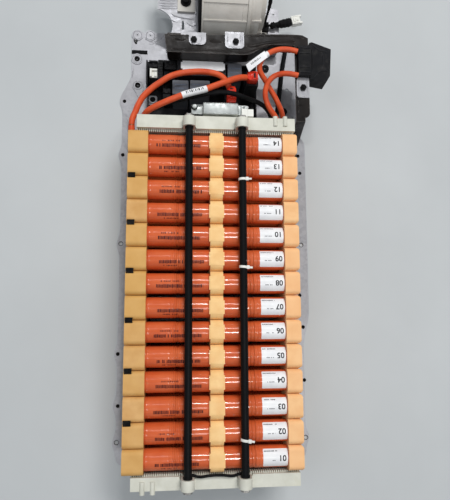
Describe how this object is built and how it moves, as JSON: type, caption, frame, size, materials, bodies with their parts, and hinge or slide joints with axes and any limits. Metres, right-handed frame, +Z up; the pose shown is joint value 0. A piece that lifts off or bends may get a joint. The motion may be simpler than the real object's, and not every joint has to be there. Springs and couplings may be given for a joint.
{
  "type": "traction battery pack",
  "caption": "Hybrid car battery pack: stick modules in orange sleeves clamped between end plates on a pressed tray, with relays, high-voltage cables, plug socket and blower.",
  "frame": {"origin": "on the tray's underside, below the middle of the module stack", "axes": "+X across the pack towards the service plug socket, +Y along the pack towards the blower, +Z up"},
  "size_m": [0.387, 0.9557, 0.154],
  "materials": {
    "black_plastic": "moulded, satin",
    "black_rubber": "matte",
    "cast_aluminium": "extruded, matte",
    "copper": "bare copper",
    "cream_plastic": "moulded, satin",
    "dark_paint": "satin black paint",
    "galvanised": "galvanised sheet",
    "ivory_plastic": "moulded, matte",
    "orange_cable": "cable jacket",
    "peach_plastic": "moulded, matte",
    "red_plastic": "moulded, glossy",
    "relay_plastic": "moulded, satin",
    "shrink_sleeve": "glossy shrink film",
    "steel": "zinc plated",
    "white_plastic": "moulded"
  },
  "bodies": {
    "pack": {"module_01_sticks": "shrink_sleeve", "module_02_sticks": "shrink_sleeve", "module_03_sticks": "shrink_sleeve", "module_04_sticks": "shrink_sleeve", "module_05_sticks": "shrink_sleeve", "module_06_sticks": "shrink_sleeve", "module_07_sticks": "shrink_sleeve", "module_08_sticks": "shrink_sleeve", "module_09_sticks": "shrink_sleeve", "module_10_sticks": "shrink_sleeve", "module_11_sticks": "shrink_sleeve", "module_12_sticks": "shrink_sleeve", "module_13_sticks": "shrink_sleeve", "module_14_sticks": "shrink_sleeve", "left_end_caps": "peach_plastic", "right_end_caps": "peach_plastic", "centre_holders": "peach_plastic", "cells": "steel", "cell_links": "steel", "busbars": "copper", "terminal_nuts": "steel", "busbar_clips": "black_plastic", "return_bars": "copper", "tray": "galvanised", "module_rails": "galvanised", "flange_bolts": "steel", "grommets": "black_rubber", "end_plate_front": "ivory_plastic", "end_plate_rear": "ivory_plastic", "tie_rods": "steel", "rod_sleeves": "black_plastic", "rod_nuts": "steel", "cable_ties": "white_plastic", "junction_box": "black_plastic", "relay_covers": "relay_plastic", "relay_coils": "copper", "battery_ecu": "black_plastic", "connector_blocks": "black_plastic", "precharge_resistor": "cast_aluminium", "resistor_connector": "white_plastic", "hv_cable_negative": "orange_cable", "hv_cable_positive": "orange_cable", "plug_cables": "orange_cable", "hv_connectors": "red_plastic", "plug_socket": "black_plastic", "support_frame": "dark_paint", "wire_harness": "black_rubber", "blower_scroll": "cream_plastic", "blower_motor": "cream_plastic", "blower_bracket": "galvanised", "motor_bracket": "galvanised", "socket_bracket": "galvanised", "blower_fixings": "black_rubber", "blower_pigtail": "black_rubber", "pigtail_sleeve": "black_rubber", "pigtail_connector": "white_plastic"},
    "main_relay_1": {"relay_armature_1": "steel"},
    "main_relay_2": {"relay_armature_2": "steel"},
    "precharge_relay": {"relay_armature_3": "steel"},
    "wheel": {"blower_wheel": "black_plastic"}
  },
  "joints": [
    {"name": "main_relay_1_stroke", "type": "slide", "parent": "pack", "child": "main_relay_1", "axis": [0, 0, 1], "range_m": [-0.002, 0], "stiffness_N_per_m": 200, "springref_m": 0.003},
    {"name": "main_relay_2_stroke", "type": "slide", "parent": "pack", "child": "main_relay_2", "axis": [0, 0, 1], "range_m": [-0.002, 0], "stiffness_N_per_m": 200, "springref_m": 0.003},
    {"name": "precharge_relay_stroke", "type": "slide", "parent": "pack", "child": "precharge_relay", "axis": [0, 0, 1], "range_m": [-0.002, 0], "stiffness_N_per_m": 200, "springref_m": 0.003},
    {"name": "wheel_spin", "type": "hinge", "parent": "pack", "child": "wheel", "pos_m": [0.02, 0.553, 0.078], "axis": [1, 0, 0], "continuous": true}
  ]
}
